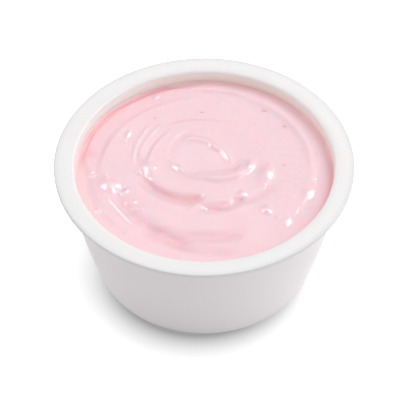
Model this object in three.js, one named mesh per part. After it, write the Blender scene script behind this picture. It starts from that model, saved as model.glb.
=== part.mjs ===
// A small round pot of pink fromage frais, stirred once with a spoon and served open. Millimetres, +Z up.
// The origin is the middle of the foot, on the surface that the pot stands on. The swirl is described
// from above: angles in degrees, anticlockwise, with 0 at +X. The front of the pot is -Y.

import * as THREE from 'three';

// Driving dimensions of the pot
const FLANGE_RADIUS = 37.25;
const POT_HEIGHT = 33.1;
const FLANGE_THICKNESS = 1.0;
const FLANGE_TOP_ROUND = 0.25;
const FLANGE_UNDER_ROUND = 0.2;
const MOUTH_ROUND = 0.5;
const WALL_THICKNESS = 1.35;
const WALL_FOOT_RADIUS = 26.6;
const WALL_SHOULDER_RADIUS = 33.6;
const WALL_BULGE = 1.1;
const SHOULDER_FILLET = 0.5;
const FOOT_ROUND = 0.8;
const FOOT_RING_WIDTH = 1.8;
const FOOT_RECESS = 0.8;
const FLOOR_THICKNESS = 1.2;
const FLOOR_CORNER = 2.2;

// Driving dimensions of the contents
const FILL_BELOW_MOUTH = 3.0;
const FILL_CLEARANCE = 0.25;
const CLING_WIDTH = 0.9;
const STROKE_TAPER = 0.3;
const CREST_BLUNT = 0.35;
const BOWL = { centre: [1.6, 6.9], radius: 9.8, depth: 0.1, slope: 4.0 };

// Fineness of the faceted solids
const SEGMENTS = 88;
const WALL_STEPS = 6;
const FILL_WALL_STEPS = 4;
const FILL_RINGS = 34;
const RING_CROWDING = 1.2;
const FOOT_ROUND_STEPS = 2;
const FLANGE_TOP_STEPS = 4;
const FLANGE_UNDER_STEPS = 1;
const MOUTH_ROUND_STEPS = 3;
const FLOOR_CORNER_STEPS = 3;
const FILL_CORNER_STEPS = 2;

const FLANGE_UNDERSIDE = POT_HEIGHT - FLANGE_THICKNESS;
const FLOOR_TOP = FOOT_RECESS + FLOOR_THICKNESS;
const FILL_LEVEL = POT_HEIGHT - FILL_BELOW_MOUTH;

// Round the wall, as pairs of angle and value. SHORE is the radius where the stirred middle falls to the
// moat along the wall, SHORE_DROP how far it falls, SHORE_FALL how wide the fall is, and CLING how high
// it climbs the plastic.
const SHORE = [
  [0, 27.9], [27, 28.6], [54, 29.4], [73, 29.7], [90, 29.8], [110, 30.9], [150, 31.1], [165, 30.4],
  [185, 28.6], [210, 28.4], [240, 28.2], [270, 28.0], [290, 27.2], [316, 26.0], [334, 26.4], [346, 27.2],
];
const SHORE_DROP = [
  [0, 0.45], [27, 0.3], [54, 0.15], [90, 0.2], [110, 0.7], [150, 0.9], [165, 0.7], [185, 0.3],
  [210, 0.2], [240, 0.2], [270, 0.2], [290, 0.2], [316, 0.25], [334, 0.25], [346, 0.35],
];
const SHORE_FALL = [
  [0, 3.2], [54, 2.6], [90, 1.8], [110, 0.8], [165, 0.8], [190, 2.8], [270, 3.2], [334, 4.0],
];
const CLING = [
  [0, 0.3], [30, 0.12], [60, 0.12], [90, 0.2], [110, 0.9], [150, 1.2], [170, 0.8], [190, 0.4],
  [240, 0.3], [290, 0.3], [330, 0.3],
];

// Each stroke of the spoon follows a logarithmic spiral round a centre, from one radius and angle to
// another. A soft one is a rounded groove or swell, a sharp one has a crest, and a step is lower on its
// outside. rise is the height at its middle, width the half width where it has mostly gone, and lean
// makes the outer flank wider (above 0).
const STROKES = [
  { form: 'soft', around: [0, 0], from: [17.0, 172], to: [7.6, 274], rise: -0.95, width: 2.0, lean: 0.35 },
  { form: 'soft', around: [0, 0], from: [19.0, 176], to: [11.0, 256], rise: 0.35, width: 2.0, lean: 0 },
  { form: 'soft', around: [0, 0], from: [11.4, 256], to: [12.4, 322], rise: -0.6, width: 1.5, lean: 0 },
  { form: 'soft', around: [0, 0], from: [12.0, 304], to: [18.6, 354], rise: -0.35, width: 1.5, lean: 0.2 },
  { form: 'soft', around: [0, 0], from: [14.6, 256], to: [15.6, 322], rise: 0.2, width: 1.7, lean: 0 },
  { form: 'soft', around: [0, 0], from: [22.6, 194], to: [23.7, 266], rise: -0.85, width: 1.7, lean: 0.3 },
  { form: 'soft', around: [0, 0], from: [21.2, 250], to: [22.2, 300], rise: -0.65, width: 1.6, lean: 0 },
  { form: 'soft', around: [0, 0], from: [24.2, 246], to: [27.8, 290], rise: -0.35, width: 1.5, lean: 0 },
  { form: 'soft', around: [0, 0], from: [19.4, 214], to: [18.6, 296], rise: 0.25, width: 2.2, lean: 0 },
  { form: 'step', around: [0, 0], from: [26.3, 84], to: [26.2, 186], rise: -0.4, width: 1.6, lean: 0 },
  { form: 'soft', around: [0, 0], from: [27.2, -4], to: [28.9, 84], rise: 0.3, width: 1.4, lean: 0 },
  { form: 'soft', around: [0, 0], from: [18.4, 122], to: [17.4, 64], rise: 0.18, width: 1.0, lean: 0 },
  { form: 'soft', around: [1.6, 6.9], from: [10.1, 202], to: [8.5, 76], rise: -0.17, width: 1.3, lean: -0.1 },
  { form: 'sharp', around: [1.6, 6.9], from: [10.6, 184], to: [8.5, 268], rise: 0.3, width: 1.0, lean: 0.2 },
  { form: 'soft', around: [1.6, 6.9], from: [7.9, 240], to: [11.9, 358], rise: 0.45, width: 1.7, lean: -0.45 },
  { form: 'soft', around: [-1.7, 5], from: [7.2, 126], to: [5.7, 24], rise: 0.25, width: 1.0, lean: 0 },
  { form: 'soft', around: [-1.7, 5], from: [5.9, 62], to: [9.6, -20], rise: 0.2, width: 1.0, lean: 0 },
  { form: 'soft', around: [-1.7, 5], from: [4.3, 62], to: [8.0, -20], rise: -0.2, width: 1.0, lean: 0 },
];

const smooth = (value) => THREE.MathUtils.smoothstep(value, 0, 1);

// Wall of the pot: a straight cone between the foot and the shoulder, pushed out most at half height.
function wallRadius(height) {
  const climb = height / FLANGE_UNDERSIDE;
  const cone = THREE.MathUtils.lerp(WALL_FOOT_RADIUS, WALL_SHOULDER_RADIUS, climb);
  return cone + 4 * WALL_BULGE * climb * (1 - climb);
}

// Points of a round about a centre, from one angle to another, in degrees.
function arc(centreRadius, centreHeight, round, fromAngle, toAngle, steps) {
  const points = [];
  for (let i = 0; i <= steps; i += 1) {
    const angle = THREE.MathUtils.degToRad(THREE.MathUtils.lerp(fromAngle, toAngle, i / steps));
    const radius = centreRadius + round * Math.cos(angle);
    points.push(new THREE.Vector2(radius, centreHeight + round * Math.sin(angle)));
  }
  return points;
}

// Points up the wall, set in from its outer face by a thickness.
function wallPoints(fromHeight, toHeight, setIn, steps) {
  const points = [];
  for (let i = 0; i <= steps; i += 1) {
    const height = THREE.MathUtils.lerp(fromHeight, toHeight, i / steps);
    points.push(new THREE.Vector2(wallRadius(height) - setIn, height));
  }
  return points;
}

function turned(points) {
  const geometry = new THREE.LatheGeometry(points, SEGMENTS);
  geometry.rotateX(Math.PI / 2);
  return geometry;
}

// The pot: a thin moulded wall with a broad flat flange round its mouth and a shallow recess under its
// floor.
function potProfile() {
  const ringOuter = wallRadius(FOOT_ROUND) - FOOT_ROUND;
  const ringInner = ringOuter - FOOT_RING_WIDTH;
  const mouthHeight = POT_HEIGHT - MOUTH_ROUND;
  const mouthRadius = wallRadius(mouthHeight) - WALL_THICKNESS;
  const cornerRadius = wallRadius(FLOOR_TOP + FLOOR_CORNER) - WALL_THICKNESS - FLOOR_CORNER;
  const flangeTop = FLANGE_RADIUS - FLANGE_TOP_ROUND;
  const flangeUnder = FLANGE_RADIUS - FLANGE_UNDER_ROUND;
  const flangeUnderHeight = FLANGE_UNDERSIDE + FLANGE_UNDER_ROUND;
  return [
    new THREE.Vector2(0, FOOT_RECESS),
    new THREE.Vector2(ringInner - FOOT_RECESS, FOOT_RECESS),
    new THREE.Vector2(ringInner, 0),
    ...arc(ringOuter, FOOT_ROUND, FOOT_ROUND, -90, 0, FOOT_ROUND_STEPS),
    ...wallPoints(FOOT_ROUND, FLANGE_UNDERSIDE - SHOULDER_FILLET, 0, WALL_STEPS).slice(1),
    new THREE.Vector2(WALL_SHOULDER_RADIUS + SHOULDER_FILLET, FLANGE_UNDERSIDE),
    ...arc(flangeUnder, flangeUnderHeight, FLANGE_UNDER_ROUND, -90, 0, FLANGE_UNDER_STEPS),
    ...arc(flangeTop, POT_HEIGHT - FLANGE_TOP_ROUND, FLANGE_TOP_ROUND, 0, 90, FLANGE_TOP_STEPS),
    ...arc(mouthRadius + MOUTH_ROUND, mouthHeight, MOUTH_ROUND, 90, 180, MOUTH_ROUND_STEPS),
    ...wallPoints(mouthHeight, FLOOR_TOP + FLOOR_CORNER, WALL_THICKNESS, WALL_STEPS).slice(1),
    ...arc(cornerRadius, FLOOR_TOP + FLOOR_CORNER, FLOOR_CORNER, 0, -90, FLOOR_CORNER_STEPS).slice(1),
    new THREE.Vector2(0, FLOOR_TOP),
  ];
}

// Value at an angle from pairs of angle and value, eased from each pair to the next and closed round the
// circle.
function roundTable(table, angle) {
  let last = table.length - 1;
  while (last > 0 && table[last][0] > angle) last -= 1;
  const [hereAngle, here] = table[last];
  const [thereAngle, there] = table[(last + 1) % table.length];
  const span = THREE.MathUtils.euclideanModulo(thereAngle - hereAngle, 360);
  return THREE.MathUtils.lerp(here, there, smooth((angle - hereAngle) / span));
}

// Section of a stroke at a distance outside its middle line, as a share of its rise.
function strokeSection(stroke, distance) {
  const reach = distance / (stroke.width * (1 + Math.sign(distance) * stroke.lean));
  if (stroke.form === 'soft') return Math.exp(-reach * reach);
  if (stroke.form === 'step') return smooth(reach + 0.5);
  return Math.exp(-2 * (Math.hypot(reach, CREST_BLUNT) - CREST_BLUNT));
}

// Height that one stroke adds at a place seen from above. It fades in and out over its first and last
// part.
function strokeHeight(stroke, x, y) {
  const [startRadius, startAngle] = stroke.from;
  const [endRadius, endAngle] = stroke.to;
  const radius = Math.hypot(x - stroke.around[0], y - stroke.around[1]);
  const angle = THREE.MathUtils.radToDeg(Math.atan2(y - stroke.around[1], x - stroke.around[0]));
  let height = 0;
  for (const turn of [-360, 0, 360]) {
    const along = (angle + turn - startAngle) / (endAngle - startAngle);
    if (along > 0 && along < 1) {
      const middle = startRadius * Math.pow(endRadius / startRadius, along);
      const fade = smooth(along / STROKE_TAPER) * smooth((1 - along) / STROKE_TAPER);
      height += stroke.rise * fade * strokeSection(stroke, radius - middle);
    }
  }
  return height;
}

// Height of the stirred surface: the level, less the moat along the wall, plus a little that clings to
// the plastic, less the bowl that the spoon left behind the middle, plus every stroke.
function fillHeight(x, y, edgeRadius) {
  const radius = Math.hypot(x, y);
  const angle = THREE.MathUtils.euclideanModulo(THREE.MathUtils.radToDeg(Math.atan2(y, x)), 360);
  const beyondShore = (radius - roundTable(SHORE, angle)) / roundTable(SHORE_FALL, angle);
  const moat = roundTable(SHORE_DROP, angle) * smooth(beyondShore + 0.5);
  const cling = roundTable(CLING, angle) * smooth((radius - edgeRadius + CLING_WIDTH) / CLING_WIDTH);
  const bowlRadius = Math.hypot(x - BOWL.centre[0], y - BOWL.centre[1]);
  const bowl = BOWL.depth * smooth((BOWL.radius - bowlRadius) / BOWL.slope);
  const strokes = STROKES.reduce((sum, stroke) => sum + strokeHeight(stroke, x, y), 0);
  return FILL_LEVEL - moat + cling - bowl + strokes;
}

// The contents: a turned body that fills the pot, with its flat top pressed into the stirred surface. Its
// rings stand closer together towards the wall, where the moat is narrow.
function fillGeometry() {
  const setIn = WALL_THICKNESS + FILL_CLEARANCE;
  const bottom = FLOOR_TOP + FILL_CLEARANCE;
  const edgeRadius = wallRadius(FILL_LEVEL) - setIn;
  const cornerRadius = wallRadius(bottom + FLOOR_CORNER) - setIn - FLOOR_CORNER;
  const points = [
    new THREE.Vector2(0, bottom),
    ...arc(cornerRadius, bottom + FLOOR_CORNER, FLOOR_CORNER, -90, 0, FILL_CORNER_STEPS),
    ...wallPoints(bottom + FLOOR_CORNER, FILL_LEVEL, setIn, FILL_WALL_STEPS).slice(1),
  ];
  const firstTopPoint = points.length - 1;
  for (let i = 1; i <= FILL_RINGS; i += 1) {
    const inward = Math.pow(i / FILL_RINGS, RING_CROWDING);
    points.push(new THREE.Vector2(edgeRadius * (1 - inward), FILL_LEVEL));
  }
  const geometry = turned(points);
  const position = geometry.attributes.position;
  for (let i = 0; i < position.count; i += 1) {
    if (i % points.length >= firstTopPoint) {
      position.setZ(i, fillHeight(position.getX(i), position.getY(i), edgeRadius));
    }
  }
  geometry.computeVertexNormals();
  return geometry;
}

const whitePlastic = new THREE.MeshStandardMaterial({ color: 0xf1f1f1, roughness: 0.35, metalness: 0 });
const pinkFromageFrais = new THREE.MeshStandardMaterial({ color: 0xf6cfd4, roughness: 0.25, metalness: 0 });

const pot = new THREE.Mesh(turned(potProfile()), whitePlastic);
pot.name = 'pot';

const fromageFrais = new THREE.Mesh(fillGeometry(), pinkFromageFrais);
fromageFrais.name = 'fromage_frais';

const group = new THREE.Group();
group.add(pot, fromageFrais);

export default group;
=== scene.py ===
# %% [markdown]
# # A pot of fromage frais
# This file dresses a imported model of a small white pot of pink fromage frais. The model is loaded as a
# frame that stays where it is, and every new piece is put around it, in metres, with +Z up. The front of
# the pot is -Y. The lesson builds a camera and soft studio light, a moulded pot, the stirred surface, and
# the bits of fruit in it.

# %% Load the frame
import math

import bpy
import numpy as np
from mathutils import Matrix, Vector


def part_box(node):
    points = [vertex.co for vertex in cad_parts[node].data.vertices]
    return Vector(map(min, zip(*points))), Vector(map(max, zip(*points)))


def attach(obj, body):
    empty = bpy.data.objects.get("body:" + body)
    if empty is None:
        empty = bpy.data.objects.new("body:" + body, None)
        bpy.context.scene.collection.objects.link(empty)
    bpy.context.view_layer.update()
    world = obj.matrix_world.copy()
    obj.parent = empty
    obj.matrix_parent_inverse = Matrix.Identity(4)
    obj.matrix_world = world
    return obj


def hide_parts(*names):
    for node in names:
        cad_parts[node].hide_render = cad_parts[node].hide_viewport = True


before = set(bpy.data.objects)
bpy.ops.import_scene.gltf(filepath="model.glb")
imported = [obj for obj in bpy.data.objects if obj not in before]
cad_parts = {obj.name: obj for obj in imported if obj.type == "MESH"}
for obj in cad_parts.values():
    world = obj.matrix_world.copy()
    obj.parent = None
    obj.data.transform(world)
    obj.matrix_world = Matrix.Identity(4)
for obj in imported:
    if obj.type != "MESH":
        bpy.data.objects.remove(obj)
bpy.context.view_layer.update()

MM = 0.001
pot_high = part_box("pot")[1]
FLANGE_RADIUS = pot_high.x / MM
POT_HEIGHT = pot_high.z / MM
print(f"the flange is {2 * FLANGE_RADIUS:.1f} mm across and the pot is {POT_HEIGHT:.1f} mm high")

# %% [markdown]
# ## Camera
# The photograph looks down on the pot from about 47 degrees, from more than a metre away with a long
# lens, so the round mouth is a clean ellipse. The point that the camera looks at, its distance and its
# angle were fitted to the outlines of flange, mouth and foot.

# %% Camera
CAMERA_AIM = (-1.06, -6.3, 27.0)
CAMERA_DISTANCE = 1250.0
CAMERA_ELEVATION = 46.8
CAMERA_ROLL = -0.23
SENSOR_WIDTH = 36.0
PHOTO_WIDTH = 400
FOCAL_PIXELS = 5045.8
CAMERA_REACH = 20.0


def add_camera():
    """Camera at a distance from its aim, tipped down by its elevation, then rolled a little about its own
    axis."""
    turn = Matrix.Rotation(math.radians(90 - CAMERA_ELEVATION), 4, "X")
    turn = turn @ Matrix.Rotation(math.radians(CAMERA_ROLL), 4, "Z")
    back = turn @ Vector((0, 0, CAMERA_DISTANCE * MM))
    data = bpy.data.cameras.new("camera")
    data.sensor_width = SENSOR_WIDTH
    data.lens = FOCAL_PIXELS * SENSOR_WIDTH / PHOTO_WIDTH
    data.clip_end = CAMERA_REACH
    camera = bpy.data.objects.new("camera", data)
    camera.matrix_world = Matrix.Translation(Vector(CAMERA_AIM) * MM + back) @ turn
    bpy.context.scene.collection.objects.link(camera)
    bpy.context.scene.camera = camera
    return camera


camera = add_camera()
place = [round(value, 3) for value in camera.matrix_world.translation]
print("camera at", place, "with a lens of", round(camera.data.lens, 1), "mm")

# %% [markdown]
# ## Light
# The pot stands in a bright white studio. Most of the light is soft and comes from above, from the front
# and from low at both sides, where wide lights brighten the flanks of the pot. Two narrower lights stand
# behind it, a strong one at the right and a weaker one at the left. A flat surface seen from the front
# mirrors the gap between them, so the wet contents show white glints only where they slope to the left or
# right. Big lamps in a room would do the same, but distant round lights need only a direction, a spread
# and a strength.

# %% Light
ROOM_LIGHT = 0.22
SOFT_LIGHTS = {
    "overhead": {"azimuth": 90, "elevation": 85, "spread": 110, "strength": 0.42},
    "front": {"azimuth": -80, "elevation": 62, "spread": 60, "strength": 0.36},
    "back_right": {"azimuth": 66, "elevation": 50, "spread": 46, "strength": 0.23},
    "light_right": {"azimuth": 46, "elevation": 52, "spread": 24, "strength": 0.64},
    "light_left": {"azimuth": 136, "elevation": 52, "spread": 20, "strength": 0.4},
    "side_right": {"azimuth": 2, "elevation": 14, "spread": 90, "strength": 2.1},
    "side_left": {"azimuth": 178, "elevation": 14, "spread": 80, "strength": 0.85},
}


def add_soft_light(name, azimuth, elevation, spread, strength):
    """Distant round light at an azimuth (0 at +X, 90 at the back) and elevation, spread over some degrees
    of sky."""
    data = bpy.data.lights.new(name, "SUN")
    data.angle = math.radians(spread)
    data.energy = strength
    light = bpy.data.objects.new(name, data)
    light.rotation_euler = (0, math.radians(90 - elevation), math.radians(azimuth))
    bpy.context.scene.collection.objects.link(light)
    return light


def set_room_light(strength):
    """Even white light of one strength from every direction."""
    world = bpy.data.worlds.new("studio")
    world.use_nodes = True
    background = world.node_tree.nodes["Background"]
    background.inputs["Color"].default_value = (1, 1, 1, 1)
    background.inputs["Strength"].default_value = strength
    bpy.context.scene.world = world


for name, settings in SOFT_LIGHTS.items():
    light = add_soft_light(name, **settings)
    print(name, "strength", light.data.energy, "spread", settings["spread"], "degrees")
set_room_light(ROOM_LIGHT)
bpy.context.scene.view_settings.view_transform = "Standard"

# %% [markdown]
# ## From numbers to a mesh
# Every piece here is a surface worked out with numpy: an array of points and an array of faces that name
# them. One helper puts both into a Blender mesh at once, which is much faster than adding points one by
# one. Others write a number on every point, such as how deep a pink it has, and let a material read it.

# %% Mesh helpers
def smooth(value):
    """Smooth step: 0 up to 0, 1 from 1, and 3 v squared less 2 v cubed between."""
    value = np.clip(value, 0.0, 1.0)
    return value * value * (3 - 2 * value)


def add_piece(name, points, faces, material):
    """Object at the origin from points in millimetres, and faces as arrays with three or four corners a
    row."""
    corners = np.concatenate([face.ravel() for face in faces])
    sizes = np.concatenate([np.full(len(face), face.shape[1]) for face in faces])
    starts = np.concatenate([[0], np.cumsum(sizes)[:-1]])
    mesh = bpy.data.meshes.new(name)
    mesh.vertices.add(len(points))
    mesh.vertices.foreach_set("co", (points * MM).ravel())
    mesh.loops.add(len(corners))
    mesh.loops.foreach_set("vertex_index", corners.astype(np.int32))
    mesh.polygons.add(len(sizes))
    mesh.polygons.foreach_set("loop_start", starts.astype(np.int32))
    mesh.update(calc_edges=True)
    mesh.shade_smooth()
    mesh.materials.append(material)
    piece = bpy.data.objects.new(name, mesh)
    bpy.context.scene.collection.objects.link(piece)
    triangles = int((sizes - 2).sum())
    print(f"{name}: {len(points)} points, {triangles} triangles, box {np.ptp(points, axis=0).round(2)} mm")
    return piece


def strip(first, second):
    """Quads between two closed loops of point numbers of the same length."""
    return np.stack([first, np.roll(first, -1), np.roll(second, -1), second], axis=1)


def fan(loop, pole):
    """Triangles between a closed loop of point numbers and one point."""
    return np.stack([loop, np.roll(loop, -1), np.full(len(loop), pole)], axis=1)


def write_values(piece, name, values):
    """One number for every point of a piece, which its material reads by this name."""
    piece.data.attributes.new(name, "FLOAT", "POINT").data.foreach_set("value", values)


def new_material(name):
    """Material with its nodes and links, to start from."""
    material = bpy.data.materials.new(name)
    material.use_nodes = True
    return material, material.node_tree.nodes, material.node_tree.links


def read_values(nodes, name):
    """Socket that gives the number written on the piece's points by this name."""
    attribute = nodes.new("ShaderNodeAttribute")
    attribute.attribute_name = name
    return attribute.outputs["Fac"]


def mix_colours(nodes, links, share, first, second):
    """Socket with first (1 - share) + second share, where the share is a socket, and each colour a value
    or a socket."""
    mix = nodes.new("ShaderNodeMix")
    mix.data_type = "RGBA"
    links.new(share, mix.inputs["Factor"])
    for name, colour in {"A": first, "B": second}.items():
        if isinstance(colour, tuple):
            mix.inputs[name].default_value = colour
        else:
            links.new(colour, mix.inputs[name])
    return mix.outputs["Result"]


# %% [markdown]
# ## Floor
# A plain white floor. In the photograph it is burnt out to pure white except for a soft shadow round the
# foot, so here it glows a little where it is seen. Such soft light casts hardly any shadow, so the shadow
# is painted: both the white and the glow are weakest at the foot, and come back by exp(-d) with the
# distance from it. To the pot the floor stays evenly bright, which lifts the lower wall as a white table
# does. The floor isn't part of the object.

# %% Floor
FLOOR_REACH = 4000.0
FLOOR_WHITE = 0.8
FLOOR_ROUGHNESS = 0.9
FLOOR_GLOW = 0.6
FLOOR_BOUNCE = 0.27

# Distances inside a material are in metres, as Object coordinates are.
SHADOW_AROUND = (-0.00135, -0.00535, 0)
SHADOW_STARTS = 0.0219
SHADOW_WIDTH = 0.0052
SHADOW_GLOW = 0.59


def floor_material():
    """White and glow less a painted shadow, which is exp(-d) for the camera and nothing for other rays,
    with d the distance beyond the shadow's start over its width."""
    material, nodes, links = new_material("floor_white")
    shader = nodes["Principled BSDF"]
    shader.inputs["Roughness"].default_value = FLOOR_ROUGHNESS
    shader.inputs["Specular IOR Level"].default_value = 0.0
    shader.inputs["Emission Color"].default_value = (1, 1, 1, 1)
    place = nodes.new("ShaderNodeTexCoord")
    distance = nodes.new("ShaderNodeVectorMath")
    distance.operation = "DISTANCE"
    distance.inputs[1].default_value = SHADOW_AROUND
    links.new(place.outputs["Object"], distance.inputs[0])
    widths = nodes.new("ShaderNodeMapRange")
    widths.clamp = False
    widths.inputs["From Min"].default_value = SHADOW_STARTS
    widths.inputs["From Max"].default_value = SHADOW_STARTS + SHADOW_WIDTH
    widths.inputs["To Max"].default_value = -1.0
    links.new(distance.outputs["Value"], widths.inputs["Value"])
    fade = nodes.new("ShaderNodeMath")
    fade.operation = "EXPONENT"
    links.new(widths.outputs["Result"], fade.inputs[0])
    seen = nodes.new("ShaderNodeLightPath")
    shadow = nodes.new("ShaderNodeMath")
    shadow.operation = "MULTIPLY"
    links.new(fade.outputs["Value"], shadow.inputs[0])
    links.new(seen.outputs["Is Camera Ray"], shadow.inputs[1])
    white = nodes.new("ShaderNodeMapRange")
    white.inputs["To Min"].default_value = FLOOR_WHITE
    white.inputs["To Max"].default_value = 0.0
    links.new(shadow.outputs["Value"], white.inputs["Value"])
    links.new(white.outputs["Result"], shader.inputs["Base Color"])
    glow = nodes.new("ShaderNodeMapRange")
    glow.inputs["To Min"].default_value = FLOOR_GLOW
    glow.inputs["To Max"].default_value = FLOOR_GLOW * SHADOW_GLOW
    links.new(shadow.outputs["Value"], glow.inputs["Value"])
    burnt = nodes.new("ShaderNodeMix")
    burnt.data_type = "FLOAT"
    burnt.inputs["A"].default_value = FLOOR_BOUNCE
    links.new(seen.outputs["Is Camera Ray"], burnt.inputs["Factor"])
    links.new(glow.outputs["Result"], burnt.inputs["B"])
    links.new(burnt.outputs["Result"], shader.inputs["Emission Strength"])
    return material


square = np.array([[-1, -1, 0], [1, -1, 0], [1, 1, 0], [-1, 1, 0]], dtype=float)
floor = add_piece("floor", FLOOR_REACH * square, [np.array([[0, 1, 2, 3]])], floor_material())

# %% [markdown]
# ## The pot
# The real pot is moulded from thin white plastic in one piece: a wall that bulges a little, a broad flat
# flange round the mouth and rounded edges everywhere. It could be cut and joined from cylinders, but a
# moulded round thing is a profile turned about its axis, so that is how it is made: one closed outline,
# from the underside to the inside.

# %% Profile of the pot
FLANGE_THICKNESS = 1.0
FLANGE_TOP_ROUND = 0.25
FLANGE_UNDER_ROUND = 0.2
MOUTH_ROUND = 0.5
WALL_THICKNESS = 1.35
WALL_FOOT_RADIUS = 26.6
WALL_SHOULDER_RADIUS = 33.6
WALL_BULGE = 1.1
SHOULDER_FILLET = 0.5
FOOT_ROUND = 0.8
FOOT_RING_WIDTH = 1.8
FOOT_RECESS = 0.8
FLOOR_THICKNESS = 1.2
FLOOR_CORNER = 2.2

# How many straight pieces each stretch of the outline has.
FLOOR_STEPS = 6
RECESS_STEPS = 4
RING_STEPS = 3
FOOT_STEPS = 8
WALL_STEPS = 30
FILLET_STEPS = 6
UNDERSIDE_STEPS = 4
UNDER_ROUND_STEPS = 5
TOP_ROUND_STEPS = 10
FLANGE_STEPS = 5
INNER_WALL_STEPS = 24
CORNER_STEPS = 8

FLANGE_UNDERSIDE = POT_HEIGHT - FLANGE_THICKNESS
FLOOR_TOP = FOOT_RECESS + FLOOR_THICKNESS


def wall_radius(height):
    """Outer wall: a straight cone from foot to shoulder, plus a parabola that is highest half way up."""
    climb = height / FLANGE_UNDERSIDE
    cone = WALL_FOOT_RADIUS + (WALL_SHOULDER_RADIUS - WALL_FOOT_RADIUS) * climb
    return cone + 4 * WALL_BULGE * climb * (1 - climb)


def arc(radius, height, bend, first, last, steps):
    """Points on a circle of radius bend about a centre, from the first angle to the last, in degrees."""
    angle = np.radians(np.linspace(first, last, steps + 1))
    return np.stack([radius + bend * np.cos(angle), height + bend * np.sin(angle)], axis=1)


def wall_points(first, last, set_in, steps):
    """Points on the wall between two heights, set in from its outer face."""
    height = np.linspace(first, last, steps + 1)
    return np.stack([wall_radius(height) - set_in, height], axis=1)


def line(first, last, steps):
    """Points on a straight line, without its two ends."""
    share = np.linspace(0, 1, steps + 1)[1:-1, None]
    return np.array(first) * (1 - share) + np.array(last) * share


def pot_profile():
    """Closed outline of the pot's section as radius and height, from the axis below the floor to the axis
    above."""
    ring_outer = wall_radius(FOOT_ROUND) - FOOT_ROUND
    ring_inner = ring_outer - FOOT_RING_WIDTH
    mouth_height = POT_HEIGHT - MOUTH_ROUND
    mouth_radius = wall_radius(mouth_height) - WALL_THICKNESS
    corner_height = FLOOR_TOP + FLOOR_CORNER
    corner_radius = wall_radius(corner_height) - WALL_THICKNESS - FLOOR_CORNER
    shoulder = FLANGE_UNDERSIDE - SHOULDER_FILLET
    fillet_radius = WALL_SHOULDER_RADIUS + SHOULDER_FILLET
    flange_top = FLANGE_RADIUS - FLANGE_TOP_ROUND
    flange_under = FLANGE_RADIUS - FLANGE_UNDER_ROUND
    under_round_height = FLANGE_UNDERSIDE + FLANGE_UNDER_ROUND
    mouth_top = mouth_radius + MOUTH_ROUND
    return np.concatenate([
        [[0, FOOT_RECESS]],
        line((0, FOOT_RECESS), (ring_inner - 2 * FOOT_RECESS, FOOT_RECESS), FLOOR_STEPS),
        arc(ring_inner - FOOT_RECESS, FOOT_RECESS / 2, FOOT_RECESS / 2, 90, 0, RECESS_STEPS),
        arc(ring_inner, FOOT_RECESS / 2, FOOT_RECESS / 2, 180, 270, RECESS_STEPS)[1:],
        line((ring_inner, 0), (ring_outer, 0), RING_STEPS),
        arc(ring_outer, FOOT_ROUND, FOOT_ROUND, -90, 0, FOOT_STEPS),
        wall_points(FOOT_ROUND, shoulder, 0, WALL_STEPS)[1:],
        arc(fillet_radius, shoulder, SHOULDER_FILLET, 180, 90, FILLET_STEPS)[1:],
        line((fillet_radius, FLANGE_UNDERSIDE), (flange_under, FLANGE_UNDERSIDE), UNDERSIDE_STEPS),
        arc(flange_under, under_round_height, FLANGE_UNDER_ROUND, -90, 0, UNDER_ROUND_STEPS),
        arc(flange_top, POT_HEIGHT - FLANGE_TOP_ROUND, FLANGE_TOP_ROUND, 0, 90, TOP_ROUND_STEPS),
        line((flange_top, POT_HEIGHT), (mouth_top, POT_HEIGHT), FLANGE_STEPS),
        arc(mouth_top, mouth_height, MOUTH_ROUND, 90, 180, TOP_ROUND_STEPS),
        wall_points(mouth_height, corner_height, WALL_THICKNESS, INNER_WALL_STEPS)[1:],
        arc(corner_radius, corner_height, FLOOR_CORNER, 0, -90, CORNER_STEPS)[1:],
        line((corner_radius, FLOOR_TOP), (0, FLOOR_TOP), FLOOR_STEPS),
        [[0, FLOOR_TOP]],
    ])


profile = pot_profile()
print(f"profile of the pot: {len(profile)} points, widest {profile[:, 0].max():.2f} mm")

# %% [markdown]
# ## White plastic
# Moulded polypropylene is white with a soft sheen, never mirror smooth: its mould leaves a faint texture.
# That is a fine noise on Object coordinates, which moves the bump and the roughness by a hair, so it
# stays on the pot in every view. The plastic is thin and lets light through, so the outer wall has painted
# light: it is a touch pinker where the contents are behind it. The flange scatters light inside itself,
# and its outer edge has painted shade: it is darker, for the dark line under the lip. Above the contents
# the inner wall has painted pink light, as the contents throw it there, paler at the left. A painted
# picture could hold all this, but a number on every point stays sharp at any size.

# %% Material of the pot
PLASTIC_WHITE = (0.717, 0.719, 0.727, 1)
# Painted shade: the outer edge of the flange is darker, for the dark line of shade under its lip.
PLASTIC_EDGE_SHADE = (0.64, 0.625, 0.64, 1)
# Painted light: the outer wall is pinker, for the light of the contents shining through it.
PLASTIC_SHINE_THROUGH = (0.71, 0.67, 0.68, 1)
# Painted light: the inner wall above the contents is pink, for the light the contents throw on it.
PAINTED_LIGHT_PINK = (1.0, 0.74, 0.70, 1)
PAINTED_LIGHT_PALE = (1.0, 0.88, 0.86, 1)
PLASTIC_IOR = 1.49
PLASTIC_SCATTER = (0.0060, 0.0046, 0.0040)
PLASTIC_SMOOTHEST = 0.27
PLASTIC_ROUGHEST = 0.3
PLASTIC_GRAIN = 2600.0
PLASTIC_GRAIN_HEIGHT = 0.000001


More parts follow.
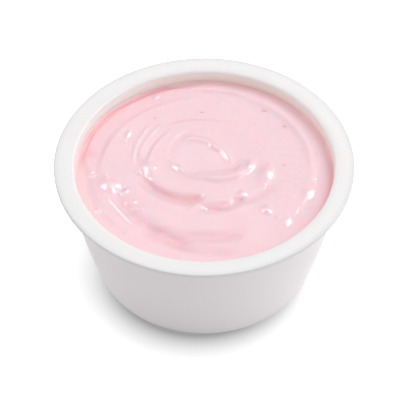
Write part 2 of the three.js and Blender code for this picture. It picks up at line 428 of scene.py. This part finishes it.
def plastic_material():
    """White, mixed with the painted shade of the outer edge, then the painted light shining through the
    outer wall, then the painted pink light on the inner wall, each by its own numbers, under a faint grain."""
    material, nodes, links = new_material("white_plastic")
    shader = nodes["Principled BSDF"]
    shader.inputs["IOR"].default_value = PLASTIC_IOR
    shader.inputs["Subsurface Radius"].default_value = PLASTIC_SCATTER
    shader.inputs["Subsurface Scale"].default_value = 1.0
    links.new(read_values(nodes, "glow"), shader.inputs["Subsurface Weight"])
    plain = mix_colours(nodes, links, read_values(nodes, "painted_edge_shade"), PLASTIC_WHITE, PLASTIC_EDGE_SHADE)
    backed = mix_colours(nodes, links, read_values(nodes, "painted_shine_through"), plain, PLASTIC_SHINE_THROUGH)
    pink_light_colour = mix_colours(nodes, links, read_values(nodes, "pink_light_paleness"), PAINTED_LIGHT_PINK, PAINTED_LIGHT_PALE)
    with_pink_light = mix_colours(nodes, links, read_values(nodes, "painted_pink_light"), backed, pink_light_colour)
    links.new(with_pink_light, shader.inputs["Base Color"])
    place = nodes.new("ShaderNodeTexCoord")
    grain = nodes.new("ShaderNodeTexNoise")
    grain.inputs["Scale"].default_value = PLASTIC_GRAIN
    links.new(place.outputs["Object"], grain.inputs["Vector"])
    spread = nodes.new("ShaderNodeMapRange")
    spread.inputs["To Min"].default_value = PLASTIC_SMOOTHEST
    spread.inputs["To Max"].default_value = PLASTIC_ROUGHEST
    links.new(grain.outputs["Fac"], spread.inputs["Value"])
    links.new(spread.outputs["Result"], shader.inputs["Roughness"])
    bump = nodes.new("ShaderNodeBump")
    bump.inputs["Distance"].default_value = PLASTIC_GRAIN_HEIGHT
    links.new(grain.outputs["Fac"], bump.inputs["Height"])
    links.new(bump.outputs["Normal"], shader.inputs["Normal"])
    return material


# %% [markdown]
# ## Turning the pot
# The outline is carried round the axis through a ring of angles, as a lathe would turn it, and one point on
# the axis closes each end. A Screw modifier could turn it too, but with arrays the place of every point is
# known at once. So every point also gets the numbers that the material reads: how much light scatters
# inside, and how much painted shade darkens the flange's outer edge, painted light shines through the
# outer wall, and painted pink light lies on the inner wall above the contents.

# %% Turned pot
TURNS = 320

# Where light scatters in the flange, the painted shade of its outer edge, and the painted pink light on
# the inner wall, which is palest at one angle in degrees.
GLOW_SHARE = 0.9
GLOW_HEIGHT = 28.6
GLOW_FADE = 1.5
EDGE_FADE = 1.5
EDGE_SHADE_DEPTH = 0.15
TINT_TOP = 32.9
TINT_REACH = 2.6
PINK_LIGHT_PALEST_AT = 160
PINK_LIGHT_PALE_FROM = 0.3


def turned(profile, steps):
    """Points and faces of a profile turned about the z axis: x = r cos a, y = r sin a, with one point at
    each end."""
    angle = 2 * np.pi * np.arange(steps) / steps
    radius, height = profile[1:-1, 0][:, None], profile[1:-1, 1][:, None]
    rings = np.stack([radius * np.cos(angle), radius * np.sin(angle), height + 0 * angle], axis=2)
    poles = np.array([[0, 0, profile[0, 1]], [0, 0, profile[-1, 1]]])
    numbers = np.arange(rings.shape[0] * steps).reshape(rings.shape[0], steps)
    points = np.concatenate([rings.reshape(-1, 3), poles])
    quads = np.concatenate([strip(lower, upper) for lower, upper in zip(numbers[:-1], numbers[1:])])
    below = fan(numbers[0], numbers.size)[:, ::-1]
    above = fan(numbers[-1], numbers.size + 1)
    return points, [quads, below, above]


pot_points, pot_faces = turned(profile, TURNS)
pot_shell = add_piece("pot_shell", pot_points, pot_faces, plastic_material())
pot_radius = np.hypot(pot_points[:, 0], pot_points[:, 1])
near_edge = smooth((FLANGE_RADIUS - pot_radius) / EDGE_FADE)
inside = pot_radius < wall_radius(pot_points[:, 2]) - WALL_THICKNESS / 2
below_tint_top = smooth((TINT_TOP - pot_points[:, 2]) / TINT_REACH)
from_left = np.cos(np.arctan2(pot_points[:, 1], pot_points[:, 0]) - np.radians(PINK_LIGHT_PALEST_AT))
# All but the glow are painted light and shade, not the plastic's own colour.
pot_values = {
    "glow": GLOW_SHARE * smooth((pot_points[:, 2] - GLOW_HEIGHT) / GLOW_FADE) * near_edge,
    "painted_edge_shade": smooth((pot_radius - FLANGE_RADIUS + EDGE_SHADE_DEPTH) / EDGE_SHADE_DEPTH),
    "painted_pink_light": inside * below_tint_top,
    "pink_light_paleness": smooth((from_left - PINK_LIGHT_PALE_FROM) / (1 - PINK_LIGHT_PALE_FROM)),
    "painted_shine_through": ~inside * below_tint_top,
}
for name, values in pot_values.items():
    write_values(pot_shell, name, values)
    print(f"{name}: from {values.min():.2f} to {values.max():.2f}")
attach(pot_shell, "root")
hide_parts("pot")

# %% [markdown]
# ## The stirred surface
# Fromage frais is thick enough to keep the track of a spoon. The surface is a height for every place seen
# from above: a level, a shore that falls to a moat along the wall, a little that clings to the plastic,
# and the strokes of the spoon. It could be sculpted or simulated, but a stroke is simply a spiral with a
# rounded section, so each is a formula with a few sizes, and nearly the same sizes shape the solid
# underneath.

# %% Sizes of the stirred surface
# The contents reach a little into the wall, so that no gap shows between them.
FILL_LEVEL = POT_HEIGHT - 3.0
FILL_EMBED = 0.15
STROKE_TAPER = 0.3
CREST_BLUNT = 0.35

# Tables by angle, in degrees from +X towards the back: radius of the shore, how deep the surface drops
# beyond it to the moat along the wall, and how high it clings to the wall.
SHORE = [
    (0, 27.9), (27, 28.6), (54, 29.4), (73, 29.7), (90, 29.8), (110, 30.9), (150, 31.1), (165, 30.4),
    (185, 28.6), (210, 28.4), (240, 28.2), (270, 28.0), (290, 27.2), (316, 26.0), (334, 26.4),
    (346, 27.2),
]
SHORE_DROP = [
    (0, 0.45), (27, 0.3), (54, 0.15), (90, 0.2), (110, 0.7), (150, 0.9), (165, 0.7), (185, 0.3),
    (210, 0.2), (240, 0.2), (270, 0.2), (290, 0.2), (316, 0.25), (334, 0.25), (346, 0.35),
]
SHORE_FALL = [(0, 3.2), (54, 2.6), (90, 1.8), (110, 0.8), (165, 0.8), (190, 2.8), (270, 3.2), (334, 4.0)]
CLING = [
    (0, 0.3), (30, 0.12), (60, 0.12), (90, 0.2), (110, 0.9), (150, 1.2), (170, 0.8), (190, 0.4),
    (240, 0.3), (290, 0.3), (330, 0.3),
]
CLING_WIDTH = 0.9

# The spoon left a shallow bowl a little behind the middle.
BOWL_AROUND = (1.6, 6.9)
BOWL_RADIUS = 9.8
BOWL_DEPTH = 0.1
BOWL_SLOPE = 4.0

# Each stroke goes round a centre from one radius and angle to another. A soft stroke is a rounded groove
# or swell, a sharp one has a crest, and a step is lower on its outside, all by its rise. Each row is
# form, centre, start as radius and angle, end, rise, width, and lean, which makes the outer flank wider
# than the inner one.
STROKES = [
    ("soft", (0, 0), (17.0, 172), (7.6, 274), -0.95, 2.0, 0.35),
    ("soft", (0, 0), (19.0, 176), (11.0, 256), 0.35, 2.0, 0.0),
    ("soft", (0, 0), (11.4, 256), (12.4, 322), -0.6, 1.5, 0.0),
    ("soft", (0, 0), (12.0, 304), (18.6, 354), -0.26, 1.5, 0.2),
    ("soft", (0, 0), (14.6, 256), (15.6, 322), 0.2, 1.7, 0.0),
    ("soft", (0, 0), (22.6, 194), (23.1, 240), -0.3, 2.0, 0.2),
    ("soft", (0, 0), (23.1, 226), (23.7, 266), -0.6, 2.0, 0.2),
    ("soft", (0, 0), (21.3, 250), (22.1, 299), -0.46, 1.9, 0.0),
    ("soft", (0, 0), (24.2, 246), (27.8, 290), -0.35, 1.5, 0.0),
    ("soft", (0, 0), (19.4, 214), (18.6, 296), 0.25, 2.2, 0.0),
    ("step", (0, 0), (26.3, 84), (26.2, 186), -0.4, 1.6, 0.0),
    ("soft", (0, 0), (27.2, -4), (28.9, 84), 0.3, 1.4, 0.0),
    ("soft", (0, 0), (26.6, 352), (25.4, 308), 0.04, 0.5, 0.0),
    ("soft", (0, 0), (28.9, 66), (29.0, 96), 0.3, 1.0, 0.0),
    ("sharp", (0, 0), (17.4, 176), (21.8, 122), 0.13, 0.6, 0.3),
    ("sharp", (0, 0), (16.5, 168), (20.0, 118), 0.11, 0.55, 0.3),
    ("soft", (0, 0), (15.2, 166), (17.6, 118), -0.14, 0.6, 0.0),
    ("sharp", (0, 0), (14.2, 164), (16.6, 116), 0.1, 0.5, 0.0),
    ("soft", (0, 0), (18.4, 122), (17.4, 64), 0.18, 0.9, 0.0),
    ("soft", (0, 0), (19.4, 122), (18.0, 70), -0.15, 0.7, 0.0),
    ("sharp", (1.6, 6.9), (11.2, 206), (9.6, 72), 0.07, 0.9, 0.0),
    ("soft", (1.6, 6.9), (10.1, 202), (8.5, 76), -0.17, 1.3, -0.1),
    ("sharp", (1.6, 6.9), (10.6, 184), (8.5, 268), 0.3, 1.0, 0.2),
    ("soft", (1.6, 6.9), (7.9, 240), (11.9, 358), 0.45, 1.7, -0.45),
    ("soft", (-1.7, 5), (7.2, 126), (5.7, 24), 0.3, 0.8, 0.0),
    ("soft", (-1.9, 5.3), (5.7, 48), (9.4, -20), 0.17, 0.8, 0.0),
    ("soft", (-1.9, 5.3), (4.1, 48), (7.8, -20), -0.17, 0.8, 0.0),
]

# Small dabs that the spoon lifted and pits that it left: place, half length, half width, direction and
# rise, which is below 0 for a pit.
DABS = [
    (-23.8, -4.2, 3.0, 1.6, 112, 0.68), (-27.9, 0.4, 0.8, 0.5, 70, 0.24),
    (-28.6, -0.6, 0.6, 0.4, 120, 0.19), (-27.4, -0.9, 0.5, 0.4, 60, 0.19),
    (-24.5, -0.4, 0.7, 0.45, 50, 0.22), (-24.0, -1.4, 0.5, 0.4, 120, 0.19),
    (-21.9, -3.6, 1.0, 0.55, 120, 0.26), (-19.4, -6.2, 0.7, 0.5, 60, 0.24),
    (-20.8, -7.2, 0.6, 0.4, 120, 0.19), (-17.3, -9.9, 0.6, 0.45, 100, 0.22),
    (-19.4, -9.9, 0.7, 0.45, 100, 0.22), (-17.7, -12.2, 0.5, 0.4, 120, 0.19),
    (-15.8, -12.1, 0.6, 0.4, 150, 0.19), (-26.2, -12.5, 1.0, 0.6, 105, 0.29),
    (-20.5, -13.1, 6.6, 0.45, 124, 0.3), (-22.9, -15.6, 3.8, 0.3, 126, 0.06),
    (-19.0, 13.4, 1.4, 0.55, 70, 0.26), (-19.9, 11.0, 0.6, 0.5, 45, 0.24),
    (-12.0, 26.6, 0.8, 0.4, 45, 0.19), (-13.5, 2.2, 2.8, 1.4, 110, 0.48),
    (-13.4, 5.0, 0.9, 0.5, 65, 0.22), (-12.4, 2.3, 1.1, 0.4, 120, 0.16), (-16.2, 0.4, 1.1, 0.4, 125, 0.2),
    (-6.2, 1.7, 1.2, 0.8, 118, 0.27), (15.5, -0.2, 3.0, 1.6, 70, 0.52), (9.2, -7.6, 1.5, 0.9, 72, 0.31),
    (6.2, -10.2, 1.3, 1.0, 70, 0.34), (12.6, -12.1, 1.0, 0.25, 42, 0.12),
    (15.3, -12.6, 1.4, 1.0, 120, 0.48), (18.0, -15.2, 0.6, 0.35, 40, 0.17),
    (25.8, -6.6, 1.8, 1.2, 62, 0.27), (20.0, -16.6, 1.6, 1.1, 58, 0.25), (11.2, 2.3, 1.3, 0.5, 80, 0.24),
    (8.0, 2.8, 1.9, 0.25, 52, 0.12), (-3.3, 11.9, 0.8, 0.5, 10, 0.24), (5.0, 6.9, 2.0, 0.7, -52, 0.06),
    (2.1, 9.2, 0.5, 0.45, -40, 0.18), (8.0, 2.6, 1.6, 0.9, 55, -0.22), (-20.3, -5.0, 0.9, 0.8, 40, -0.38),
    (-1.7, -8.3, 1.2, 0.8, 10, -0.38), (9.1, -8.9, 0.5, 0.4, 60, -0.19),
    (-11.3, -19.3, 2.2, 1.1, 155, -0.24), (2.6, -12.0, 2.2, 0.8, 2, -0.38),
    (-28.9, 7.2, 1.4, 0.9, 110, -0.18),
]

# %% [markdown]
# ## From sizes to heights
# Each mark is now a small function of the place seen from above. It takes whole arrays, so one call gives
# the height of every point at once, and the marks are simply added up. The surface could have been
# displaced by an image instead, but a formula has no pixels and can be asked for a height anywhere, as
# the fruit does later.

# %% Height of the stirred surface
def round_table(table, angle):
    """Value at an angle from pairs of angle and value, by a smooth curve through them that closes on
    itself."""
    marks = np.array(table, dtype=float)
    step = np.searchsorted(marks[:, 0], angle, side="right") - 1
    count = len(marks)
    here, there = marks[step], marks[(step + 1) % count]
    span = (there[..., 0] - here[..., 0]) % 360
    share = smooth(((angle - here[..., 0]) % 360) / span)
    return here[..., 1] * (1 - share) + there[..., 1] * share


def stroke_height(x, y, form, around, start, end, rise, width, lean):
    """Height of one stroke: its middle line is the spiral r = r0 (r1 / r0) to the power t, where t goes
    from 0 to 1 with the angle. Across it a soft one is exp(-d squared), a sharp one exp(-2 |d|) with a
    blunted top, and a step a smooth step, where d is the distance from the line over the width."""
    dx, dy = x - around[0], y - around[1]
    radius, angle = np.hypot(dx, dy), np.degrees(np.arctan2(dy, dx))
    height = np.zeros_like(x)
    for turn in (-360, 0, 360):
        along = (angle + turn - start[1]) / (end[1] - start[1])
        offset = radius - start[0] * (end[0] / start[0]) ** np.clip(along, 0, 1)
        reach = offset / (width * (1 + lean * np.sign(offset)))
        section = {
            "soft": np.exp(-reach ** 2),
            "sharp": np.exp(-2 * (np.hypot(reach, CREST_BLUNT) - CREST_BLUNT)),
            "step": smooth(reach + 0.5),
        }[form]
        height += rise * section * smooth(along / STROKE_TAPER) * smooth((1 - along) / STROKE_TAPER)
    return height


def dab_height(x, y, at_x, at_y, half_length, half_width, direction, rise):
    """Height of a small bump: its rise times exp(-u squared - v squared), with u along its direction and
    v across."""
    turn = np.radians(direction)
    along = ((x - at_x) * np.cos(turn) + (y - at_y) * np.sin(turn)) / half_length
    across = ((y - at_y) * np.cos(turn) - (x - at_x) * np.sin(turn)) / half_width
    return rise * np.exp(-along ** 2 - across ** 2)


def spoon_marks(x, y):
    """Sum of all strokes, dabs and pits at places seen from above, in millimetres."""
    strokes = sum(stroke_height(x, y, *stroke) for stroke in STROKES)
    return strokes + sum(dab_height(x, y, *dab) for dab in DABS)


def fill_height(x, y):
    """Height of the stirred surface: the level, less the moat, plus the cling, less the bowl, plus the
    marks."""
    radius, angle = np.hypot(x, y), np.degrees(np.arctan2(y, x)) % 360
    beyond = (radius - round_table(SHORE, angle)) / round_table(SHORE_FALL, angle)
    moat = round_table(SHORE_DROP, angle) * smooth(beyond + 0.5)
    cling = round_table(CLING, angle) * smooth((radius - edge_radius + CLING_WIDTH) / CLING_WIDTH)
    bowl_radius = np.hypot(x - BOWL_AROUND[0], y - BOWL_AROUND[1])
    bowl = BOWL_DEPTH * smooth((BOWL_RADIUS - bowl_radius) / BOWL_SLOPE)
    return FILL_LEVEL - moat + cling - bowl + spoon_marks(x, y)


edge_radius = wall_radius(FILL_LEVEL) - WALL_THICKNESS + FILL_EMBED

# %% [markdown]
# ## A square grid bent to a disc
# A surface made of rings has long thin faces at its rim and a knot of tiny ones at its middle, and both
# spoil soft highlights. A square grid whose squares are pushed out to the circle has faces of one size
# everywhere. Its outer edge then carries on down along the wall to a closed bottom, so that the contents
# are one solid body.

# %% Body of the contents
GRID = 284
SIDE_RINGS = 8


def disc_grid(steps):
    """Square grid on a disc of radius 1: the ring at half size s stays a ring at radius s, and its
    corners slide round so that steps along a side are equal angles."""
    side = np.linspace(-1, 1, steps + 1)
    u, v = np.meshgrid(side, side, indexing="ij")
    wide = np.abs(u) >= np.abs(v)
    size = np.where(wide, u, v)
    safe = np.where(size == 0, 1, size)
    angle = np.where(wide, np.pi / 4 * v / safe, np.pi / 2 - np.pi / 4 * u / safe)
    return size * np.cos(angle), size * np.sin(angle)


def grid_rim(numbers):
    """Point numbers round the edge of a square grid, anticlockwise."""
    return np.concatenate([numbers[:-1, 0], numbers[-1, :-1], numbers[:0:-1, -1], numbers[0, :0:-1]])


def fill_body():
    """Points and faces of the contents: the top is the height over a disc grid, its rim goes straight
    down along the wall in rings, z = top (1 - t) + floor t, and a fan closes the bottom."""
    x, y = disc_grid(GRID)
    x, y = x * edge_radius, y * edge_radius
    top = np.stack([x, y, fill_height(x, y)], axis=2).reshape(-1, 3)
    numbers = np.arange(len(top)).reshape(GRID + 1, GRID + 1)
    corners = [numbers[:-1, :-1], numbers[1:, :-1], numbers[1:, 1:], numbers[:-1, 1:]]
    quads = np.stack(corners, axis=2).reshape(-1, 4)
    rim = grid_rim(numbers)
    around = top[rim, :2] / edge_radius
    floor_height = FLOOR_TOP - FILL_EMBED
    depth = np.linspace(0, 1, SIDE_RINGS + 1)[1:, None]
    height = top[rim, 2] * (1 - depth) + floor_height * depth
    radius = np.minimum(wall_radius(height) - WALL_THICKNESS + FILL_EMBED, edge_radius)
    corner = np.where(depth == 1, radius - FLOOR_CORNER, radius)
    rings = np.stack([around[:, 0] * corner, around[:, 1] * corner, height], axis=2)
    ring_numbers = len(top) + np.arange(SIDE_RINGS * len(rim)).reshape(SIDE_RINGS, len(rim))
    loops = [rim, *ring_numbers]
    sides = np.concatenate([strip(lower, upper) for upper, lower in zip(loops[:-1], loops[1:])])
    bottom = len(top) + ring_numbers.size
    points = np.concatenate([top, rings.reshape(-1, 3), [[0, 0, floor_height]]])
    return points, [quads, sides, fan(ring_numbers[-1], bottom)[:, ::-1]]


fill_points, fill_faces = fill_body()

# %% [markdown]
# ## Pink fromage frais
# The real thing is milk protein and cream with a little fruit: light goes into it, scatters and comes out
# some way off, so hollows glow warmer and deeper pink instead of turning grey. That is subsurface
# scattering. Its skin is wet, so a clear smooth coat lies over it. A faint cloudy mottling, worked out on
# Object coordinates, keeps it from one flat colour. A warm tint, deeper pink for painted shade, and
# stains of fruit are mixed in by numbers on the points, worked out further on.

# %% Material of the contents
PINK_LIGHT = (1.0, 0.665, 0.722, 1)
PINK_DEEP = (0.995, 0.645, 0.70, 1)
SCATTER_RADIUS = (0.0018, 0.0009, 0.0008)
CLOUD_SCALE = 110.0
CLOUD_DETAIL = 3
CLOUD_EDGES = (0.35, 0.65)
SCATTER_FADE = 3.5
FILL_IOR = 1.4
FILL_ROUGHNESS = 0.32
SKIN_ROUGHNESS = 0.09
SKIN_IOR = 1.7
SKIN_WAVES = 500.0
SKIN_WAVE_DETAIL = 2
SKIN_WAVE_HEIGHT = 0.00012
# Deeper pink for painted shade in hollows, in the moat and along the wall, and for stains of fruit.
PINK_SHADE_AND_STAIN = (0.975, 0.50, 0.535, 1)
PINK_PEACH = (0.99, 0.645, 0.625, 1)


def fromage_material():
    """Cloudy pink, warmer by the peach number, then deeper by the number for painted shade and stains,
    under a wet coat.
    """
    material, nodes, links = new_material("pink_fromage_frais")
    shader = nodes["Principled BSDF"]
    shader.inputs["Roughness"].default_value = FILL_ROUGHNESS
    shader.inputs["IOR"].default_value = FILL_IOR
    shader.inputs["Coat Weight"].default_value = 1.0
    shader.inputs["Coat Roughness"].default_value = SKIN_ROUGHNESS
    shader.inputs["Coat IOR"].default_value = SKIN_IOR
    shader.inputs["Subsurface Radius"].default_value = SCATTER_RADIUS
    shader.inputs["Subsurface Scale"].default_value = 1.0
    links.new(read_values(nodes, "scatter"), shader.inputs["Subsurface Weight"])
    place = nodes.new("ShaderNodeTexCoord")
    cloud = nodes.new("ShaderNodeTexNoise")
    cloud.inputs["Scale"].default_value = CLOUD_SCALE
    cloud.inputs["Detail"].default_value = CLOUD_DETAIL
    links.new(place.outputs["Object"], cloud.inputs["Vector"])
    cloudy = nodes.new("ShaderNodeValToRGB")
    for stop, edge, colour in zip(cloudy.color_ramp.elements, CLOUD_EDGES, (PINK_DEEP, PINK_LIGHT)):
        stop.position = edge
        stop.color = colour
    links.new(cloud.outputs["Fac"], cloudy.inputs["Fac"])
    warmed = mix_colours(nodes, links, read_values(nodes, "peach"), cloudy.outputs["Color"], PINK_PEACH)
    shaded_and_stained = mix_colours(nodes, links, read_values(nodes, "painted_shade_and_stains"), warmed, PINK_SHADE_AND_STAIN)
    links.new(shaded_and_stained, shader.inputs["Base Color"])
    uneven = nodes.new("ShaderNodeTexNoise")
    uneven.inputs["Scale"].default_value = SKIN_WAVES
    uneven.inputs["Detail"].default_value = SKIN_WAVE_DETAIL
    links.new(place.outputs["Object"], uneven.inputs["Vector"])
    bump = nodes.new("ShaderNodeBump")
    bump.inputs["Distance"].default_value = SKIN_WAVE_HEIGHT
    links.new(uneven.outputs["Fac"], bump.inputs["Height"])
    links.new(bump.outputs["Normal"], shader.inputs["Normal"])
    links.new(bump.outputs["Normal"], shader.inputs["Coat Normal"])
    return material


fill_piece = add_piece("fromage_frais_fill", fill_points, fill_faces, fromage_material())
fill_radius = np.hypot(fill_points[:, 0], fill_points[:, 1])
write_values(fill_piece, "scatter", smooth((edge_radius - fill_radius) / SCATTER_FADE))

# %% [markdown]
# ## Painted shade and stains
# In hollows, in the moat and along the wall the pink is painted deeper and darker: painted shade. Round
# the flecks the same pink is a real stain of fruit. Along the wall at the left and front the pink is
# warmer instead. Each is a share from 0 to 1 for every point, worked out from the same marks and from
# tables by angle, as the heights are.

# %% Shares of painted shade and stains, and of the warm tint
WALL_BAND = 3.4
WALL_PEACH = [(0, 0.0), (60, 0.2), (110, 0.6), (165, 0.9), (215, 1.0), (270, 0.8), (320, 0.3)]
# Painted shade: deeper pink along the wall, by a table of angles.
WALL_SHADE = [
    (0, 0.7), (27, 0.4), (60, 0.12), (90, 0.08), (110, 0.12), (150, 0.12), (185, 0.22), (215, 0.26),
    (250, 0.28), (290, 0.55), (334, 0.75),
]
# Painted shade in the moat along the wall, darkest in the crease at the left behind.
MOAT_SHADE = [
    (0, 0.3), (40, 0.1), (100, 0.1), (112, 1.0), (165, 1.0), (178, 0.0), (300, 0.0), (334, 0.3),
]
MOAT_RADIUS = 31.2
MOAT_WIDTH = 0.55
# Painted shade in the hollows of the strokes, a share of their depth.
HOLLOW_SHADE = 0.6

# Soft patches: stains of fruit round the flecks, and painted shade in the grooves and along the front.
# Each row is place, two half widths along X and Y, and share.
STAINS_AND_SHADE = [
    (-1.7, -8.3, 2.0, 1.3, 0.3), (-28.9, 7.2, 1.6, 2.2, 0.3), (5.5, 17.4, 3.0, 0.7, 0.18),
    (4.5, -27.2, 4.5, 1.2, 0.3), (19.8, -2.9, 1.5, 0.5, 0.2), (9.1, -8.8, 0.7, 0.7, 0.35),
    (1.5, -24.5, 3.5, 1.0, 0.15), (-19.8, -10.0, 1.1, 1.4, 0.3), (-17.8, -13.4, 1.3, 1.7, 0.32),
    (-16.0, -16.4, 1.2, 1.1, 0.28), (-11.2, -19.4, 2.0, 0.9, 0.2), (-6.0, -23.0, 3.0, 0.9, 0.15),
    (3.4, -21.4, 2.6, 0.9, 0.12), (15.1, 21.4, 1.1, 0.7, 0.3), (20.2, 15.9, 0.9, 0.8, 0.34),
    (-0.4, 21.0, 1.1, 0.5, 0.22), (-12.2, 19.0, 0.7, 0.7, 0.22), (20.0, 2.6, 0.8, 0.7, 0.24),
]


def shade_and_stain_share(x, y):
    """Painted shade: near the wall a smooth rise by a table, in the moat a band, in hollows a share of
    their depth; plus soft patches, exp(-u squared - v squared), of stain round fruit and of shade in
    grooves."""
    radius, angle = np.hypot(x, y), np.degrees(np.arctan2(y, x)) % 360
    near_wall = round_table(WALL_SHADE, angle) * smooth((radius - edge_radius + WALL_BAND) / WALL_BAND)
    hollow = HOLLOW_SHADE * np.clip(-spoon_marks(x, y), 0, 1)
    moat = round_table(MOAT_SHADE, angle) * np.exp(-((radius - MOAT_RADIUS) / MOAT_WIDTH) ** 2)
    stain_and_shade_patches = sum(share * np.exp(-((x - u) / a) ** 2 - ((y - v) / b) ** 2) for u, v, a, b, share in STAINS_AND_SHADE)
    return np.clip(near_wall + moat + hollow + stain_and_shade_patches, 0, 1)


def peach_share(x, y):
    """Along the wall a smooth rise by a table, which warms the pink there."""
    radius, angle = np.hypot(x, y), np.degrees(np.arctan2(y, x)) % 360
    return round_table(WALL_PEACH, angle) * smooth((radius - edge_radius + WALL_BAND) / WALL_BAND)


for name, share in {"peach": peach_share, "painted_shade_and_stains": shade_and_stain_share}.items():
    values = share(fill_points[:, 0], fill_points[:, 1])
    write_values(fill_piece, name, values)
    print(f"{name} covers {100 * values.mean():.0f}% on average")
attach(fill_piece, "root")
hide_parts("fromage_frais")

# %% [markdown]
# ## Flecks of fruit
# A few shreds of berry lie in the surface, dark pink and up to about two millimetres long. Each is a ball
# that is stretched, then made uneven by a few waves, and pressed in until just its top shows. They could
# be spots of colour, but from close by the light catches them, so they are real pieces, and one function
# makes them all.

# %% Flecks of fruit
# Place, half length, half width and direction of each fleck.
FLECKS = [
    (-0.4, 21.0, 0.95, 0.28, 4), (-12.2, 19.0, 0.4, 0.28, 50), (15.1, 21.4, 0.95, 0.36, 172),
    (20.2, 15.9, 0.75, 0.42, 150), (20.0, 2.6, 0.5, 0.36, 20), (9.2, -8.9, 0.4, 0.32, 70),
    (27.9, 6.4, 0.35, 0.26, 100), (-9.8, 7.4, 0.22, 0.16, 20), (12.8, 16.6, 0.5, 0.18, 178),
    (-13.2, 8.2, 0.2, 0.15, 60), (17.9, -18.5, 0.3, 0.2, 130), (-19.8, -20.2, 0.25, 0.18, 30),
]
FLECK_FLAT = 0.6
FLECK_SHOWS = 0.3
FLECK_TURNS = 20
FLECK_RINGS = 9
FLECK_SEED = 7
FLECK_WAVE = 0.18
BERRY_PINK = (0.87, 0.42, 0.53, 1)
BERRY_ROUGHNESS = 0.3
BERRY_SCATTER_SHARE = 0.5
BERRY_SCATTER = (0.0008, 0.0003, 0.0003)


def fleck(at_x, at_y, half_length, half_width, direction, waves):
    """Ball by two angles, stretched along its direction, flattened, and made uneven by sines of both
    angles."""
    rise = np.pi * (np.arange(1, FLECK_RINGS + 1) / (FLECK_RINGS + 1) - 0.5)[:, None]
    turn = 2 * np.pi * np.arange(FLECK_TURNS)[None, :] / FLECK_TURNS
    twofold = np.sin(2 * turn + waves[0]) * np.cos(rise)
    threefold = np.sin(3 * turn + waves[1] + rise)
    uneven = 1 + FLECK_WAVE * twofold + FLECK_WAVE * threefold
    long = half_length * np.cos(rise) * np.cos(turn) * uneven
    wide = half_width * np.cos(rise) * np.sin(turn) * uneven
    tall = half_width * FLECK_FLAT * np.sin(rise) + 0 * turn
    body = np.stack([long, wide, tall], axis=2).reshape(-1, 3)
    poles = np.array([[0, 0, -half_width * FLECK_FLAT], [0, 0, half_width * FLECK_FLAT]])
    points = np.concatenate([body, poles])
    tilt = np.radians(direction)
    x = at_x + points[:, 0] * np.cos(tilt) - points[:, 1] * np.sin(tilt)
    y = at_y + points[:, 0] * np.sin(tilt) + points[:, 1] * np.cos(tilt)
    ground = fill_height(x, y) - half_width * FLECK_FLAT * (1 - FLECK_SHOWS)
    return np.stack([x, y, ground + points[:, 2]], axis=1)


def fleck_faces(first):
    """Quads and triangles of one ball whose points are numbered from first."""
    numbers = first + np.arange(FLECK_RINGS * FLECK_TURNS).reshape(FLECK_RINGS, FLECK_TURNS)
    top = first + numbers.size
    quads = np.concatenate([strip(lower, upper) for lower, upper in zip(numbers[:-1], numbers[1:])])
    return quads, np.concatenate([fan(numbers[0], top)[:, ::-1], fan(numbers[-1], top + 1)])


def fruit_material():
    """Dark pink that scatters light a little way, like the flesh of a berry."""
    material, nodes, links = new_material("berry")
    shader = nodes["Principled BSDF"]
    shader.inputs["Base Color"].default_value = BERRY_PINK
    shader.inputs["Roughness"].default_value = BERRY_ROUGHNESS
    shader.inputs["Subsurface Weight"].default_value = BERRY_SCATTER_SHARE
    shader.inputs["Subsurface Radius"].default_value = BERRY_SCATTER
    shader.inputs["Subsurface Scale"].default_value = 1.0
    return material


fleck_waves = np.random.default_rng(FLECK_SEED).uniform(0, 2 * np.pi, (len(FLECKS), 2))
fleck_points = [fleck(*row, waves) for row, waves in zip(FLECKS, fleck_waves)]
fleck_parts = [fleck_faces(index * len(fleck_points[0])) for index in range(len(FLECKS))]
fleck_shapes = [np.concatenate(parts) for parts in zip(*fleck_parts)]
flecks = add_piece("fruit_flecks", np.concatenate(fleck_points), fleck_shapes, fruit_material())
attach(flecks, "root")
